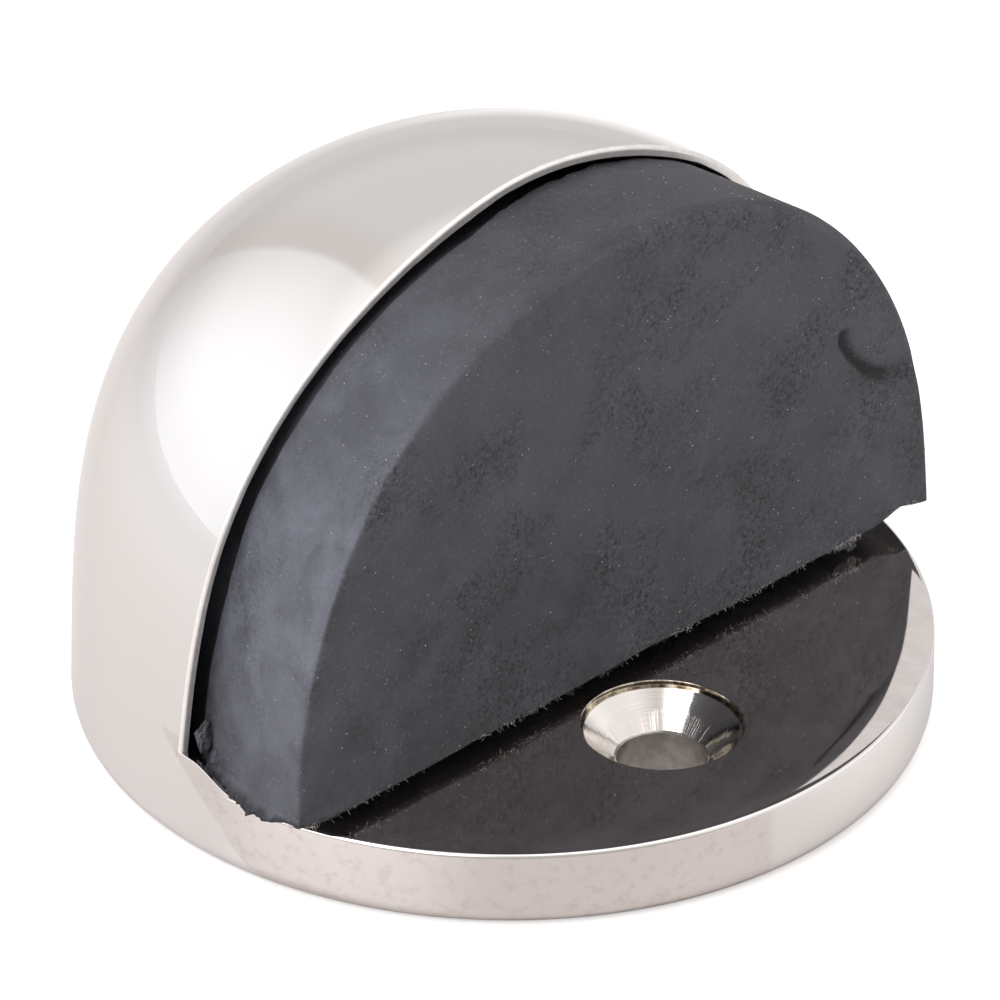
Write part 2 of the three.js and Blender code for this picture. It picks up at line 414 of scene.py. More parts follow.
def castingFaces():
    flange = casting["flange"]
    waist = skinRadius(flange)
    rounding = casting["rimRounding"]
    startAngle = math.asin((casting["rimSetback"] + rounding) / waist)
    angles = [math.pi * j / casting["columns"] for j in range(casting["columns"] + 1)]
    slices = casting["slices"]
    forward = Vector((0, -1, -casting["rimLean"])).normalized()

    # dome skin, in slices parallel to the rim from the front to the back
    skin, backAngles = [], []
    for k in range(slices):
        turn = startAngle + (math.pi / 2 - startAngle) * k / slices
        backAngles.append(turn)
        depth = waist * math.sin(turn) - casting["rimSetback"]
        row = [slicePoint(a, depth) for a in angles]
        row[0] = Vector((waist * math.cos(turn), waist * math.sin(turn), flange))
        row[-1] = Vector((-waist * math.cos(turn), waist * math.sin(turn), flange))
        skin.append([(p, skinNormal(p)) for p in row])
    backPoint = Vector((0, waist, flange))
    skin.append([(backPoint, skinNormal(backPoint))] * len(angles))
    faces = gridFaces(skin)

    # rim: rounded edge, flat lip and inner edge
    rimColumns, mouth = [], []
    for j, angle in enumerate(angles):
        corner = slicePoint(angle, 0)
        outward = skinNormal(corner)
        inward = -(outward - forward * outward.dot(forward)).normalized()
        width = lipWidth(angle, corner.z)
        start, startNormal = skin[0][j]
        lipStart = corner + inward * rounding
        lipEnd = corner + inward * (width - casting["lipRounding"])
        inner = start - startNormal * width
        for point in (corner, lipStart, lipEnd, inner):
            if j in (0, len(angles) - 1):
                point.z = flange
        column = blendCurve(start, corner, lipStart, 9, startNormal, forward)
        column += blendCurve(lipEnd, corner + inward * width, inner, 3, forward, -startNormal)
        rimColumns.append(column)
        mouth.append((inner, -startNormal))
    rimRows = [list(row) for row in zip(*rimColumns)]
    faces += gridFaces(rimRows, slot=3, flip=True)

    # hollow of the dome
    hollow = [mouth]
    for k in range(1, slices + 1):
        row = []
        for j, (point, normal) in enumerate(skin[k]):
            depth = point.y - rimY(point.z)
            blend = smoothStep(0, casting["mouthDepth"], depth)
            width = lipWidth(angles[j], point.z)
            wall = width + (casting["wall"] - width) * blend
            inner = point - normal * wall
            inner.z = max(inner.z, flange)
            if j in (0, len(angles) - 1) or k == slices:
                inner.z = flange
            row.append((inner, -normal))
        hollow.append(row)
    faces += gridFaces(hollow, slot=1, flip=True)

    # outer wall below the flange's top, all the way round
    frontAngles = [math.pi - startAngle + (math.pi + 2 * startAngle) * i / casting["frontSteps"]
                   for i in range(casting["frontSteps"] + 1)]
    around = backAngles + [math.pi / 2] + [math.pi - a for a in reversed(backAngles)]
    around += frontAngles[1:]
    footSteps, edgeSteps = 6, 6

    def edgeAt(turn):
        fromCorner = min(abs(turn - frontAngles[0]), abs(turn - frontAngles[-1]))
        inFront = turn > frontAngles[0]
        growth = smoothStep(math.radians(8), math.radians(14), fromCorner)
        return casting["flangeEdge"] * growth if inFront else 0.0

    def rollAt(turn):
        fromCorner = min(abs(turn - frontAngles[0]), abs(turn - frontAngles[-1]))
        return smoothStep(math.radians(3), math.radians(16), fromCorner)

    wallRows = []
    for i in range(footSteps + 1):
        climb = i / footSteps * math.pi / 2
        radius = casting["radius"] - casting["footInset"] * (1 - math.sin(climb))
        height = casting["belly"] * (1 - math.cos(climb))
        side, down = math.sin(climb) / casting["footInset"], math.cos(climb) / casting["belly"]
        wallRows.append([
            (Vector((radius * math.cos(t), radius * math.sin(t), height)),
             Vector((side * math.cos(t), side * math.sin(t), -down)).normalized()) for t in around])
    for share in (0.25, 0.5, 0.75, 1.0):
        row = []
        for t in around:
            drop = casting["rollDrop"] * rollAt(t) if t > frontAngles[0] else 0.0
            height = casting["belly"] + (flange - edgeAt(t) - drop - casting["belly"]) * share
            radius = waist if share == 1.0 else skinRadius(height)
            point = Vector((radius * math.cos(t), radius * math.sin(t), height))
            row.append((point, skinNormal(point)))
        wallRows.append(row)
    faces += gridFaces(wallRows, flip=True)

    edgeRows = []
    for i in range(edgeSteps + 1):
        climb = i / edgeSteps * math.pi / 2
        row = []
        for t in frontAngles:
            edge = edgeAt(t)
            radius = waist - edge * (1 - math.cos(climb))
            height = flange - casting["rollDrop"] * rollAt(t) - edge * (1 - math.sin(climb))
            point = Vector((radius * math.cos(t), radius * math.sin(t), height))
            flatness = climb if edge > 0 else 0.0
            facing = Vector((math.cos(t) * math.cos(flatness), math.sin(t) * math.cos(flatness),
                             math.sin(flatness)))
            row.append((point, facing))
        edgeRows.append(row)

    # the polished top rolls off gently towards its edge
    for i in range(1, 9):
        share = i / 8
        row = []
        for t in frontAngles:
            roll = rollAt(t)
            radius = waist - edgeAt(t) - casting["rollOff"] * roll * share
            height = flange - casting["rollDrop"] * roll * (1 - share) ** 2
            slope = 2 * casting["rollDrop"] / casting["rollOff"] * (1 - share)
            point = Vector((radius * math.cos(t), radius * math.sin(t), height))
            row.append((point, Vector((slope * math.cos(t), slope * math.sin(t), 1)).normalized()))
        edgeRows.append(row)
    faces += gridFaces(edgeRows, flip=True)

    # flange top and pocket floor, then the underside, each with the screw hole in it
    up, down = Vector((0, 0, 1)), Vector((0, 0, -1))
    holeRows = screwHoleRows()
    faces += gridFaces(holeRows, slot=2)
    rightRim = [p for p, _ in rimColumns[0]]
    leftRim = [p for p, _ in rimColumns[-1]]
    pocket = [row[0][0] for row in hollow[1:]] + [row[-1][0] for row in reversed(hollow[1:-1])]
    outline = rightRim + pocket + leftRim[::-1] + [p for p, _ in edgeRows[-1]][1:-1]
    faces += flatFaces(withoutRepeats(outline), [p for p, _ in holeRows[0]][:-1], up)
    sole = [p for p, _ in wallRows[0]][:-1]
    faces += flatFaces(withoutRepeats(sole), [p for p, _ in holeRows[-1]][:-1], down)
    return faces


def withoutRepeats(points):
    kept = []
    for point in points:
        if not kept or (point - kept[-1]).length > 1e-4:
            kept.append(point)
    return kept


def screwHoleRows():
    top = casting["flange"]
    sink, shank, edge, burr = (screwHole[k] for k in ("sink", "shank", "edge", "burr"))
    lipFoot = top - screwHole["lip"]
    ledge = sink - 0.18
    coneFoot = lipFoot - (ledge - shank - burr)
    cone, inward, up, down = (-0.7, 0.7), (-1, 0), (0, 1), (0, -1)
    # radius, height, then which way the surface faces: outwards, upwards
    profile = [
        (sink + edge, top, up), (sink + edge * 0.3, top - edge * 0.3, (-0.7, 0.7)),
        (sink, top - edge, inward), (sink, lipFoot, inward), (sink, lipFoot, up),
        (ledge, lipFoot, up), (ledge, lipFoot, cone),
        (shank + burr, coneFoot, cone), (shank + burr, coneFoot, (-0.35, 0.9)),
        (shank, coneFoot - 0.08, (-0.35, 0.9)), (shank, coneFoot - 0.08, inward),
        (shank, 0.15, inward), (shank + 0.15, 0, down),
    ]
    rows = []
    steps = casting["holeSteps"]
    for index, (radius, height, (outwards, upwards)) in enumerate(profile):
        row = []
        for i in range(steps + 1):
            turn = -2 * math.pi * (i % steps) / steps
            ragged = noise.noise(Vector((math.cos(turn) * 4, math.sin(turn) * 4, 3.0)))
            # the burr above the bore is ragged, the lip only slightly
            wobble = 0.07 * ragged if index in (9, 10) else 0.0
            if index in (0, 3, 4, 5, 6):
                wobble = 0.012 * ragged
            reach = radius + wobble
            point = Vector((screwHole["at"][0] + reach * math.cos(turn),
                            screwHole["at"][1] + reach * math.sin(turn), height))
            row.append((point, Vector((outwards * math.cos(turn), outwards * math.sin(turn),
                                       upwards)).normalized()))
        rows.append(row)
    return rows


# grain with matching bumps, shared by the metals
def makeGrain():
    group = bpy.data.node_groups.new("metalGrain", "ShaderNodeTree")
    group.interface.new_socket("Vector", in_out="INPUT", socket_type="NodeSocketVector")
    for label in ("Scale", "Detail", "Roughness", "Strength", "Distance"):
        group.interface.new_socket(label, in_out="INPUT", socket_type="NodeSocketFloat")
    group.interface.new_socket("Grain", in_out="OUTPUT", socket_type="NodeSocketFloat")
    group.interface.new_socket("Normal", in_out="OUTPUT", socket_type="NodeSocketVector")
    given = addNode(group, "NodeGroupInput").outputs
    grain = addNoise(group, given["Vector"], given["Scale"], given["Detail"], given["Roughness"])
    normal = bumps(group, grain, given["Strength"], given["Distance"])
    addNode(group, "NodeGroupOutput", values={"Grain": grain, "Normal": normal})
    return group


metalGrain = makeGrain()


def addGrain(tree, coords, values):
    node = addNode(tree, "ShaderNodeGroup", {"node_tree": metalGrain}, {"Vector": coords, **values})
    return node.outputs["Grain"], node.outputs["Normal"]


# polished nickel: bright metal with faint polishing waves, and a duller front wall painted darker as a
# reflection of shade
nickelFinish = {
    "colour": (0.80, 0.78, 0.768), "tint": (0.81, 0.785, 0.77),
    "paintedDarkReflection": (0.70, 0.635, 0.605), "blotch": (0.60, 0.52, 0.48),
    "topDark": (0.75, 0.69, 0.66), "topPale": (0.86, 0.80, 0.775),
    "roughness": (0.035, 0.075),
    "waves": {"Scale": 140, "Detail": 2, "Roughness": 0.55, "Strength": 0.05, "Distance": 0.0004},
}


def nickelMaterial():
    material, shader, tree, coords = newMaterial("polishedNickel")
    place, facing = splitVector(tree, coords), surfaceNormal(tree)
    colour = mixColours(tree, addNoise(tree, coords, 60, 2), nickelFinish["colour"], nickelFinish["tint"])

    # the front of the flange's wall is painted darker, a painted reflection of shade, up to a slanting edge
    # near the rim's left foot
    edge = maths(tree, "SUBTRACT", times(tree, place["Z"], 1.09), place["Y"])
    wavy = times(tree, maths(tree, "SUBTRACT", addNoise(tree, coords, 700, 2), 0.5), 1.0 * mm)
    front = mapRange(tree, maths(tree, "ADD", edge, wavy), 4.15 * mm, 4.45 * mm, smooth=True)
    upright = mapRange(tree, facing["Z"], 0.3, 0.7, 1, 0)
    wall = times(tree, upright, mapRange(tree, place["Z"], 6.5 * mm, 6.6 * mm, 1, 0))
    fade = mapRange(tree, place["X"], -3.3 * mm, -2.3 * mm, 1.0, 0.12, smooth=True)
    paintedDarkReflection = times(tree, times(tree, front, wall), fade)
    colour = mixColours(tree, times(tree, paintedDarkReflection, 0.62), colour, nickelFinish["paintedDarkReflection"])
    # darker speckles inside the painted reflection
    spots = mapRange(tree, addNoise(tree, coords, 1500, 4, 0.6), 0.52, 0.66, 0, 0.42)
    colour = mixColours(tree, times(tree, paintedDarkReflection, spots), colour, nickelFinish["blotch"])

    # the flange's top is a warmer, mottled mirror
    flat = times(tree, mapRange(tree, facing["Z"], 0.97, 0.995),
                 mapRange(tree, place["Z"], 4.5 * mm, 4.6 * mm, 1, 0))
    mottle = mapRange(tree, addNoise(tree, coords, 420, 5, 0.65, 0.4), 0.35, 0.65)
    warm = mixColours(tree, mottle, nickelFinish["topDark"], nickelFinish["topPale"])

    smear = mapRange(tree, addNoise(tree, coords, 220, 4, 0.6, 0.6), 0.35, 0.75, *nickelFinish["roughness"])
    setInputs(tree, shader, {
        "Base Color": mixColours(tree, flat, colour, warm), "Metallic": 1.0,
        "Roughness": maths(tree, "ADD", smear, times(tree, paintedDarkReflection, 0.05)),
        "Normal": addGrain(tree, coords, nickelFinish["waves"])[1]})
    return material


# raw casting inside the dome, and the filed, creamy rim
castFinish = {
    "dark": (0.16, 0.15, 0.14), "pale": (0.32, 0.30, 0.27),
    "grain": {"Scale": 2500, "Detail": 4, "Roughness": 0.55, "Strength": 0.6, "Distance": 0.0001},
}
rimFinish = {
    "dark": (0.84, 0.80, 0.76), "pale": (0.95, 0.92, 0.89), "roughness": (0.30, 0.45),
    "grain": {"Scale": 1800, "Detail": 5, "Roughness": 0.7, "Strength": 0.2, "Distance": 0.00003},
}


def castMaterial():
    material, shader, tree, coords = newMaterial("rawCasting")
    grain, normal = addGrain(tree, coords, castFinish["grain"])
    setInputs(tree, shader, {
        "Base Color": mixColours(tree, grain, castFinish["dark"], castFinish["pale"]),
        "Metallic": 1.0, "Roughness": 0.55, "Normal": normal})
    return material


def rimMaterial():
    material, shader, tree, coords = newMaterial("filedRim")
    grain, normal = addGrain(tree, coords, rimFinish["grain"])
    tone = mapRange(tree, grain, 0.35, 0.65)
    setInputs(tree, shader, {
        "Base Color": mixColours(tree, tone, rimFinish["dark"], rimFinish["pale"]), "Metallic": 0.7,
        "Roughness": mapRange(tree, grain, 0.3, 0.7, *rimFinish["roughness"]), "Normal": normal})
    return material


# the turned screw hole: bright cone, dull bore, brown worn lip
holeFinish = {
    "coneDark": (0.72, 0.69, 0.66), "conePale": (0.84, 0.80, 0.77),
    "boreDark": (0.42, 0.39, 0.36), "borePale": (0.56, 0.53, 0.50),
    "lipDark": (0.20, 0.16, 0.11), "lipPale": (0.74, 0.68, 0.58),
    "rings": 9000.0, "scratches": 22.0,
}


def turnedMaterial():
    material, shader, tree, coords = newMaterial("turnedHole")
    centre = addNode(tree, "ShaderNodeMapping", values={
        "Vector": coords, "Location": (-screwHole["at"][0] * mm, -screwHole["at"][1] * mm, 0)})
    flat = addNode(tree, "ShaderNodeVectorMath", {"operation": "MULTIPLY"},
                   {0: centre.outputs[0], 1: (1, 1, 0)}).outputs[0]
    distance = addNode(tree, "ShaderNodeVectorMath", {"operation": "LENGTH"}, {0: flat}).outputs["Value"]
    ring = addNode(tree, "ShaderNodeCombineXYZ", values={
        "X": times(tree, distance, holeFinish["rings"]),
        "Y": times(tree, addNoise(tree, coords, 300, 1), 1.6)})
    marks = addNoise(tree, ring.outputs[0], 1.0, 3, 0.7)

    # short scratches that run down the cone
    around = addNode(tree, "ShaderNodeVectorMath", {"operation": "NORMALIZE"}, {0: flat}).outputs[0]
    stretched = addNode(tree, "ShaderNodeVectorMath", {"operation": "SCALE"},
                        {0: around, "Scale": holeFinish["scratches"]}).outputs[0]
    lines = mapRange(tree, addNoise(tree, stretched, 3.0, 3, 0.8), 0.58, 0.66)
    scratches = times(tree, lines, mapRange(tree, distance, 2.5 * mm, 3.3 * mm, 1, 0))
    height = maths(tree, "ADD", marks, times(tree, scratches, 2.5))

    inBore = mapRange(tree, distance, 2.38 * mm, 2.46 * mm, 1, 0)
    onLip = mapRange(tree, distance, 4.06 * mm, 4.2 * mm)
    patches = mapRange(tree, addNoise(tree, coords, 1400, 4, 0.7), 0.38, 0.62)
    cone, bore, lip = (mixColours(tree, mask, holeFinish[part + "Dark"], holeFinish[part + "Pale"])
                       for part, mask in (("cone", marks), ("bore", patches), ("lip", patches)))
    polish = mapRange(tree, marks, 0.3, 0.8, 0.05, 0.12)
    setInputs(tree, shader, {
        "Base Color": mixColours(tree, onLip, mixColours(tree, inBore, cone, bore), lip),
        "Metallic": 1.0, "Roughness": maths(tree, "ADD", polish, times(tree, inBore, 0.25)),
        "Normal": bumps(tree, height, 0.3, 0.00003)})
    return material


def webFaces(side):
    # the corner web between the rim's foot and the flange: a low curb that fades out along the edge
    flange = casting["flange"]
    corner = math.asin(casting["rimSetback"] / casting["radius"])
    steps = 26
    rows = []
    for i in range(steps + 1):
        share = i / steps
        turn = corner + 0.012 - (casting["webReach"] / casting["radius"] + 0.012) * share
        tall = casting["web"] * (1 - smoothStep(0.25, 1, share)) * (1 - 0.18 * share) + 0.002
        width = casting["webWidth"] * (1 - 0.5 * share)
        across, along = math.cos(turn), math.sin(turn)
        outward = Vector((side * across, along, 0))
        row = []
        profile = [(0.05, -0.15, outward), (0.0, 0.0, outward)]
        soft = min(0.05, tall * 0.5)
        profile.append((0.0, tall - soft, outward))
        for k in range(1, 5):
            climb = k / 4 * math.pi / 2
            facing = (outward * math.cos(climb) + Vector((0, 0, math.sin(climb)))).normalized()
            profile.append((soft * (1 - math.cos(climb)), tall - soft * (1 - math.sin(climb)), facing))
        profile.append((width - 0.05, tall - soft * 0.2, Vector((0, 0, 1))))
        profile.append((width, tall - soft, -outward))
        profile.append((width + 0.1, -0.15, -outward))
        for inset, up, facing in profile:
            z = flange + up
            reach = skinRadius(min(z, flange + 3)) - inset
            row.append((Vector((side * reach * across, reach * along, z)), facing))
        rows.append(row)
    faces = gridFaces(rows, flip=side > 0)
    for row, facing in ((rows[0], Vector((0, 1, 0))), (rows[-1], Vector((0, -1, 0)))):
        corners = [(p, facing) for p, _ in row]
        isFirst = row is rows[0]
        faces.append((0, corners[::-1] if isFirst == (side > 0) else corners))
    for first, second in zip(rows, rows[1:]):
        under = [(p, Vector((0, 0, -1))) for p, _ in (first[-1], second[-1], second[0], first[0])]
        faces.append((0, under[::-1] if side > 0 else under))
    return faces


def keep(piece, replaced=None):
    if replaced:
        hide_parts(replaced)
    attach(piece, "root")


polishedNickel = nickelMaterial()
polishedBody = meshFromCorners(
    "polished_body", castingFaces(), [polishedNickel, castMaterial(), turnedMaterial(), rimMaterial()])
for side, name in ((-1, "corner_web_left"), (1, "corner_web_right")):
    keep(meshFromCorners(name, webFaces(side), [polishedNickel]))
keep(polishedBody, "stop_body")
print("casting made:", len(polishedBody.data.polygons), "faces")


# rubber buffer, in millimetres
rubber = {
    "faceY": rubberLow.y / mm, "bottom": 5.18, "plugBottom": 4.86,
    "face": {"half": 23.5, "top": 31.3, "crown": 2.05, "side": 2.8, "shift": -0.1},
    "neck": {"half": 20.8, "top": 30.65, "crown": 2.0, "side": 3.7, "shift": 0.0},
    "edgeLeft": 0.42, "edgeTop": 0.95, "edgeBottom": 0.38,
    "columns": 380, "bottomColumns": 300,
    "innerRings": 16, "outerRings": 34, "outerWidth": 6.5, "bandRows": 46,
    "rearRounding": 0.16,
    "plug": ((0.4, 0.9), (2.5, 1.6), (5, 2.6), (8, 4.2), (11, 6.2), (14, 9.0), (16.5, 12.5)),  # depth, inset
    "middle": (0.0, 14.0),
}
# the moulding crease near the right side of the face, from its top to its end
crease = {
    "path": ((16.6, 18.9), (16.5, 17.9), (17.0, 16.95), (17.6, 16.2), (18.5, 15.3), (19.6, 14.5)),
    "depth": 0.50, "width": 0.24, "dent": 0.34, "swell": 0.16,
}


def outlinePoint(outline, angle, bottom):
    across, up = math.cos(angle), math.sin(angle)
    low, high = 0.0, outline["half"] * 1.6
    for _ in range(36):
        middle = (low + high) / 2
        share = (middle * abs(across) / outline["half"]) ** outline["crown"]
        share += ((bottom + middle * up) / outline["top"]) ** outline["side"]
        if share < 1:
            low = middle
        else:
            high = middle
    return Vector((low * across + outline["shift"], 0, bottom + low * up))


def ripple(x, y, z, scale, octaves=1):
    total, weight = 0.0, 1.0
    for octave in range(octaves):
        size = scale / 2 ** octave
        total += weight * noise.noise(Vector((x / size + 17.0 * octave, y / size, z / size)))
        weight *= 0.5
    return total


def nearPath(x, z, path):
    # distance to a bent line, and how far along it, from 0 to 1
    best, along = 1e9, 0.0
    for i, (start, end) in enumerate(zip(path, path[1:])):
        dx, dz = end[0] - start[0], end[1] - start[1]
        t = ((x - start[0]) * dx + (z - start[1]) * dz) / (dx * dx + dz * dz)
        t = min(max(t, 0), 1)
        distance = math.hypot(x - start[0] - t * dx, z - start[1] - t * dz)
        if distance < best:
            best, along = distance, (i + t) / (len(path) - 1)
    return best, along


def inDent(x, z, right, down, wide, tall):
    # 1 in the middle of the dent at the crease's end, fading to 0 around it
    end = crease["path"][-2]
    spread = math.hypot((x - end[0] - right) / wide, (z - end[1] + down + 0.25 * (x - end[0])) / tall)
    return math.exp(-spread ** 2)


def faceRelief(x, z):
    # how far the front face lies behind its plane
    relief = 0.045 + 0.045 * ripple(x, 0, z, 9.0, 2) + 0.014 * ripple(x, 3, z, 1.6, 2)
    relief += 0.006 * ripple(x, 7, z, 0.45, 2)
    distance, along = nearPath(x, z, crease["path"])
    fade = smoothStep(0, 0.12, along) * (1 - 0.6 * smoothStep(0.75, 1, along))
    relief += crease["depth"] * fade * math.exp(-(distance / crease["width"]) ** 2)
    relief += crease["dent"] * inDent(x, z, 1.1, 0.45, 2.2, 0.75)
    swell = math.hypot(x - 19.0, z - 17.6)
    relief -= crease["swell"] * math.exp(-(swell / 2.0) ** 2)
    # small folds at the top of the face
    fold = math.exp(-((z - 29.0) / 1.3) ** 2) * smoothStep(4, 7, x) * (1 - smoothStep(11, 14, x))
    relief += 0.10 * fold * ripple(x, 11, z, 0.8)
    return max(relief, 0.004)


def footHeight(x, share):
    # height of the block's lower edge; share runs from the face, 0, to the rim, 1
    height = rubber["bottom"] + (rubber["plugBottom"] - rubber["bottom"]) * smoothStep(0.1, 1.0, share)
    height += 0.07 * ripple(x, 0, 0, 6.0) + 0.045 * ripple(x, 5, 0, 0.9, 2)
    height += 0.40 * math.exp(-((x - 21.3) / 1.15) ** 2) - 0.06 * smoothStep(21.5, 23.2, x)
    height -= 0.14 * math.exp(-((x + 20.6) / 1.6) ** 2)
    onLeft = smoothStep(-18, -22, x)
    height += onLeft * 0.16 * (1 - smoothStep(0.0, 0.25, share))
    height += 0.30 * smoothStep(-22.5, -23.4, x) * (1 - smoothStep(0.0, 0.2, share))
    height -= onLeft * 0.40 * smoothStep(0.12, 0.4, share)
    ragged = 0.13 * ripple(x, share * 9.0, 2, 0.55, 3)
    return max(height + smoothStep(-19, -21.5, x) * ragged, 4.47)


def rubberRow(outline, inset, share, place):
    # one closed loop: over the D from right to left, then back along its foot
    columns, below = rubber["columns"], rubber["bottomColumns"]
    base = rubber["bottom"]
    row = []
    middle = Vector((rubber["middle"][0], 0, rubber["middle"][1]))
    foot = [outline[-1].lerp(outline[0], i / below) for i in range(1, below)]
    for j, p in enumerate(outline + foot):
        amount = inset(j, p)
        pull = middle - p
        moved = p + pull.normalized() * amount
        moved.x += 0.32 * smoothStep(11, base, p.z) * smoothStep(-10, -20, p.x) * (1 - share)
        lowest = math.exp(-((p.z - base) / 0.9) ** 2) if j <= columns else 1.0
        moved.z += lowest * (footHeight(p.x, share) - base)
        moved.y = place(moved)
        row.append(moved)
    return row


def edgeRadius(j, p):
    if j > rubber["columns"]:
        return rubber["edgeBottom"]
    top = smoothStep(14, 27, p.z) * smoothStep(-16, 0, p.x)
    radius = rubber["edgeLeft"] + (rubber["edgeTop"] - rubber["edgeLeft"]) * top
    return radius + (rubber["edgeBottom"] - radius) * math.exp(-((p.z - rubber["bottom"]) / 1.2) ** 2)


def bandRelief(x, y, z):
    return (0.05 * ripple(x, y, z, 5.0, 2) + 0.012 * ripple(x, y + 9, z, 1.0, 2)
            + 0.004 * ripple(x, y, z + 5, 0.4))


def rearWave(x, z):
    # the block's rear edge runs unevenly beside the rim, most of all near the top
    top = smoothStep(24, 29, z) * smoothStep(-6, -1, x)
    wave = 0.05 * ripple(x, 2, z, 2.2) + 0.03 * ripple(x, 4, z, 0.8)
    wave += top * (0.22 * ripple(x, 6, 0, 1.9) + 0.13 * ripple(x, 8, 0, 0.7))
    # a step where the moulding's edge is torn
    wave += top * 0.28 * math.exp(-((x - 5.6) / 0.7) ** 2)
    return wave


def rubberRows():
    faceY, base = rubber["faceY"], rubber["bottom"]
    angles = [math.pi * j / rubber["columns"] for j in range(rubber["columns"] + 1)]
    face = [outlinePoint(rubber["face"], a, base) for a in angles]
    neck = [outlinePoint(rubber["neck"], a, base) for a in angles]
    middle = Vector((rubber["middle"][0], 0, rubber["middle"][1]))

    rows = []
    rim = rubberRow(face, edgeRadius, 0, lambda p: faceY)
    outerShare = rubber["outerWidth"] / 22
    inner = [1 - (1 - outerShare) * (k + 0.4) / rubber["innerRings"] for k in range(rubber["innerRings"])]
    outer = [outerShare * (1 - k / rubber["outerRings"]) for k in range(rubber["outerRings"] + 1)]
    for share in inner + outer:
        row = []
        for p in rim:
            q = Vector((p.x, 0, p.z)).lerp(middle, share)
            row.append(Vector((q.x, faceY + faceRelief(q.x, q.z), q.z)))
        rows.append(row)

    # rounded front edge
    steps = 9
    for i in range(1, steps + 1):
        turn = i / steps * math.pi / 2
        row = rubberRow(face, lambda j, p: edgeRadius(j, p) * (1 - math.sin(turn)), 0, lambda p: faceY)
        for j, p in enumerate(row):
            source = face[min(j, rubber["columns"])] if j <= rubber["columns"] else p
            p.y += edgeRadius(j, source) * (1 - math.cos(turn))
            p.y += faceRelief(p.x, p.z) * math.cos(turn)
        rows.append(row)
    fronts = [p.y for p in rows[-1]]

    # side band, narrowing to the rim
    bandRows = rubber["bandRows"]
    for i in range(1, bandRows + 1):
        t = i / bandRows
        mixed = [a.lerp(b, t) for a, b in zip(face, neck)]
        row = rubberRow(mixed, lambda j, p: 0.0, t, lambda p: 0.0)
        for j, p in enumerate(row):
            rear = rimY(p.z) + 0.05 - 0.28 * smoothStep(9, 16, p.z) * smoothStep(4, -6, p.x)
            rear -= 0.40 * smoothStep(19, 25, p.z) * smoothStep(1.5, -4.5, p.x)
            if j <= rubber["columns"]:
                rear += rearWave(p.x, p.z)
            p.y = fronts[j] + (rear - fronts[j]) * t
            calm = smoothStep(0, 0.12, t)
            outwards = Vector((p.x, 0, p.z - middle.z)).normalized()
            relief = bandRelief(p.x, p.y, p.z) * calm
            # ragged flash that spreads over the flange's edge on the left
            skirt = smoothStep(-19.5, -20.8, p.x)
            skirt *= smoothStep(0.08, 0.28, t) * (1 - smoothStep(0.88, 0.98, t))
            skirt *= math.exp(-((p.z - footHeight(p.x, t)) / 0.30) ** 2)
            p.x += outwards.x * relief - 0.72 * skirt * (1 + 0.7 * ripple(p.y, 0, 3, 0.5, 2))
            p.z += outwards.z * relief if j <= rubber["columns"] else 0.0
        rows.append(row)

    # rear edge, the step down to the plug, and the plug inside the dome
    last = rows[-1]
    rounding = rubber["rearRounding"]
    for i in range(1, 6):
        turn = i / 5 * math.pi / 2
        rows.append([p + (middle - Vector((p.x, 0, p.z))).normalized() * rounding * (1 - math.cos(turn))
                     + Vector((0, rounding * math.sin(turn), 0)) for p in last])
    for depth, narrow in rubber["plug"]:
        row = []
        for p in last:
            pull = (middle - Vector((p.x, 0, p.z))).normalized() * narrow
            row.append(Vector((p.x + pull.x, rimY(p.z) + depth + 0.3, max(p.z + pull.z, 4.8))))
        rows.append(row)
    return rows


def rowsToMesh(name, rows):
    points, polygons = [], []
    width = len(rows[0])
    for row in rows:
        points.extend(row)
    for r in range(len(rows) - 1):
        for i in range(width):
            j = (i + 1) % width
            polygons.append((r * width + i, (r + 1) * width + i, (r + 1) * width + j, r * width + j))
    last = (len(rows) - 1) * width
    polygons.append(tuple(range(width)))
    polygons.append(tuple(last + i for i in reversed(range(width))))
    polygons = [tuple(reversed(p)) for p in polygons]
    mesh = bpy.data.meshes.new(name)
    mesh.from_pydata([p * mm for p in points], [], polygons)
    mesh.polygons.foreach_set("use_smooth", [True] * len(polygons))
    piece = bpy.data.objects.new(name, mesh)
    bpy.context.collection.objects.link(piece)
    return piece


# matte rubber: dark face with painted light towards its upper right, paler blue-grey bloom with a painted
# sheen on the side band and painted shade at its top, painted shade in the crease, moulded grain
rubberFinish = {
    "dark": (0.031, 0.031, 0.038), "pale": (0.088, 0.089, 0.106),
    "bloomAndSheen": (0.150, 0.157, 0.190), "pitAndShade": (0.010, 0.010, 0.011), "chalk": (0.24, 0.24, 0.25),
    "roughness": (0.58, 0.82),
}


